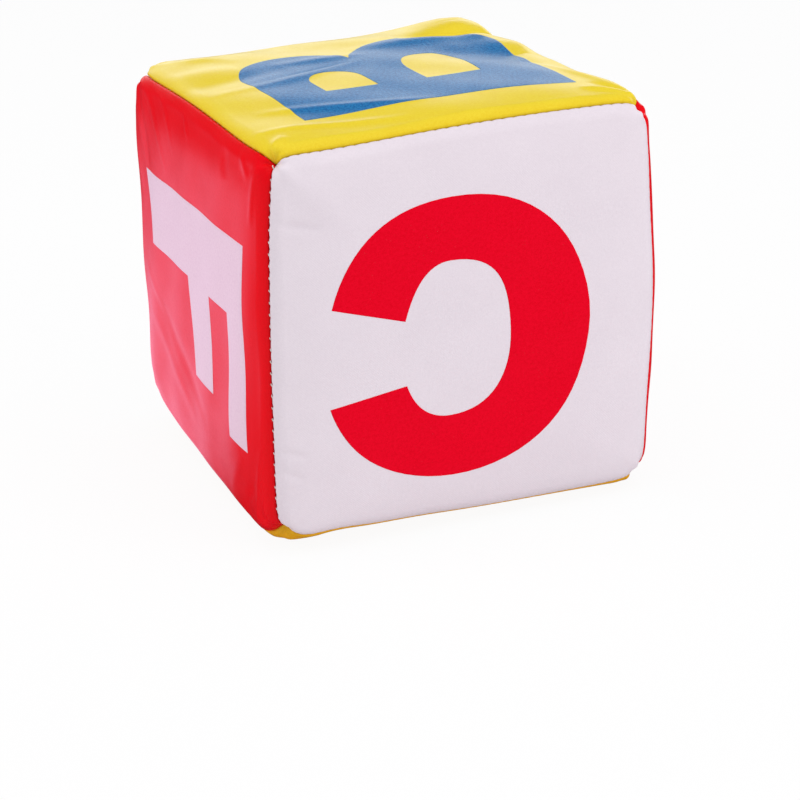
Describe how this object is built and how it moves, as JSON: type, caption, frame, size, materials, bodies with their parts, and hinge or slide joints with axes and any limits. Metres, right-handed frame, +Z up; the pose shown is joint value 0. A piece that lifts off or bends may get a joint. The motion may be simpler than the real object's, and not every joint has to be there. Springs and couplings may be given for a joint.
{
  "type": "soft dice",
  "caption": "Soft foam-filled die with a sewn cover in red, yellow and white, and a large printed letter on each face.",
  "frame": {"origin": "middle of the flat patch that the die rests on, below the centre of its bounding box", "axes": "+Z up, out of the yellow top with the letter B; -Y out of the white front with the letter C; -X out of the red left side with the letter F"},
  "size_m": [0.15, 0.15, 0.1495],
  "materials": {
    "foam": "open-cell polyurethane foam, cream, matt",
    "cover_white": "coated leatherette, cool white, satin gloss, fine woven backing showing through",
    "cover_red": "coated leatherette, bright red, satin gloss with a soft pinkish sheen",
    "cover_yellow": "coated leatherette, warm yellow, satin gloss, slightly wrinkled",
    "print_red": "printed ink film, red, satin",
    "print_blue": "printed ink film, mid blue, satin with a mottled sheen",
    "print_pink": "printed ink film, pale pinkish white, satin",
    "thread": "spun polyester sewing thread, off-white"
  },
  "bodies": {
    "root": {"foam_core": "foam", "panel_top": "cover_yellow", "panel_bottom": "cover_yellow", "panel_front": "cover_white", "panel_back": "cover_white", "panel_left": "cover_red", "panel_right": "cover_red", "letter_a": "print_pink", "letter_b": "print_blue", "letter_c": "print_red", "letter_d": "print_red", "letter_e": "print_blue", "letter_f": "print_pink", "seam_top_front": "thread", "seam_top_back": "thread", "seam_top_left": "thread", "seam_top_right": "thread", "seam_bottom_front": "thread", "seam_bottom_back": "thread", "seam_bottom_left": "thread", "seam_bottom_right": "thread", "seam_front_left": "thread", "seam_front_right": "thread", "seam_back_left": "thread", "seam_back_right": "thread"}
  },
  "joints": []
}
